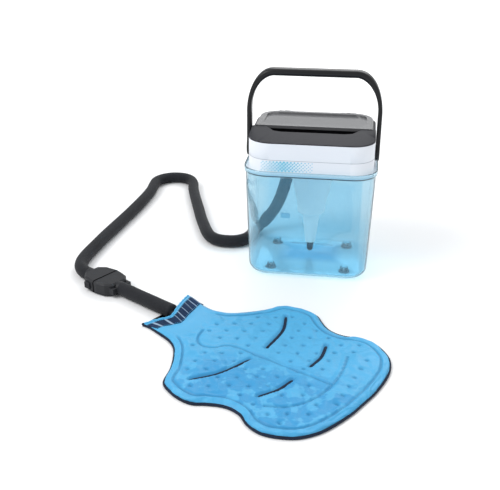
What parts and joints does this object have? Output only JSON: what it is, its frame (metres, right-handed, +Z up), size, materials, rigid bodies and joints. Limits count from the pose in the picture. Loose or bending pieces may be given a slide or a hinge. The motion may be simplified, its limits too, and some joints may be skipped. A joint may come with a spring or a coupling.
{
  "type": "cold therapy machine",
  "caption": "Portable cold therapy machine: clear water tank with a carried pump lid and filling hatch, insulated hose with quick coupling, and a shaped wrap pad.",
  "frame": {"origin": "on the floor, at the middle of the box round the machine and its pad, hoses and coupling left out", "axes": "+Z up, the machine's front looks along -Y, +X to the right of someone facing the front"},
  "size_m": [0.5977, 0.9497, 0.377],
  "materials": {
    "tank_blue": "clear tinted, polished",
    "rubber_dark": "matt",
    "steel": "bright zinc",
    "white_plastic": "smooth satin",
    "deck_grey": "fine satin",
    "hatch_grey": "glossy",
    "handle_black": "satin",
    "pump_white": "matt",
    "motor_metal": "plain",
    "strainer_dark": "matt",
    "tube_clear": "soft clear",
    "board_green": "lacquered",
    "sleeve_foam": "closed cell foam",
    "coupling_black": "satin",
    "pad_azure": "coated film, satin",
    "pad_navy": "knitted"
  },
  "bodies": {
    "tank": {"tank": "tank_blue", "tank_feet": "rubber_dark", "foot_screws": "steel", "main_hose": "sleeve_foam", "coupling_socket": "coupling_black", "release_springs": "steel"},
    "lid": {"lid_gasket": "rubber_dark", "lid_base": "white_plastic", "mouth_chute": "white_plastic", "lid_housing": "white_plastic", "top_deck": "deck_grey", "lid_screws": "steel", "hatch_pins": "steel", "pivot_bosses": "white_plastic", "pivot_screws": "steel", "pump_column": "pump_white", "pump_volute": "pump_white", "pump_motor": "motor_metal", "motor_plate": "pump_white", "shaft_seal": "rubber_dark", "intake_tube": "pump_white", "intake_strainer": "strainer_dark", "delivery_tube": "tube_clear", "return_tube": "tube_clear", "circuit_board": "board_green", "power_inlet": "handle_black", "button_switch": "board_green", "hose_elbow": "handle_black", "elbow_nut": "white_plastic"},
    "hatch": {"hatch": "hatch_grey", "hatch_seal": "rubber_dark"},
    "handle": {"handle": "handle_black"},
    "impeller": {"impeller": "pump_white", "motor_shaft": "steel"},
    "power_button": {"power_button": "deck_grey"},
    "left_release": {"left_release": "coupling_black"},
    "right_release": {"right_release": "coupling_black"},
    "wrap": {"coupling_plug": "coupling_black", "plug_nozzles": "coupling_black", "plug_seals": "rubber_dark", "pad_hose": "sleeve_foam", "pad_backing": "pad_navy", "pad_bladder": "pad_azure", "neck_sleeve": "pad_azure", "neck_band": "pad_navy", "slot_tapes": "pad_navy"}
  },
  "joints": [
    {"name": "lid_lift", "type": "slide", "parent": "tank", "child": "lid", "axis": [0, 0, 1], "range_m": [0, 0.21]},
    {"name": "hatch_hinge", "type": "hinge", "parent": "lid", "child": "hatch", "pos_m": [0.054, 0.308, 0.2675], "axis": [-1, 0, 0], "range_deg": [0, 100]},
    {"name": "handle_pivot", "type": "hinge", "parent": "lid", "child": "handle", "pos_m": [0.054, 0.198, 0.232], "axis": [1, 0, 0], "range_deg": [0, 90]},
    {"name": "impeller_spin", "type": "hinge", "parent": "lid", "child": "impeller", "pos_m": [0.054, 0.218, 0.105], "axis": [0, 0, 1], "continuous": true},
    {"name": "power_press", "type": "slide", "parent": "lid", "child": "power_button", "axis": [0, -1, 0], "range_m": [0, 0.0015], "stiffness_N_per_m": 900},
    {"name": "left_press", "type": "slide", "parent": "tank", "child": "left_release", "axis": [-0.515, -0.8572, 0], "range_m": [0, 0.0025], "stiffness_N_per_m": 900},
    {"name": "right_press", "type": "slide", "parent": "tank", "child": "right_release", "axis": [0.515, 0.8572, 0], "range_m": [0, 0.0025], "stiffness_N_per_m": 900},
    {"name": "coupling_pull", "type": "slide", "parent": "tank", "child": "wrap", "axis": [0.8572, -0.515, 0], "range_m": [0, 0.06]}
  ]
}
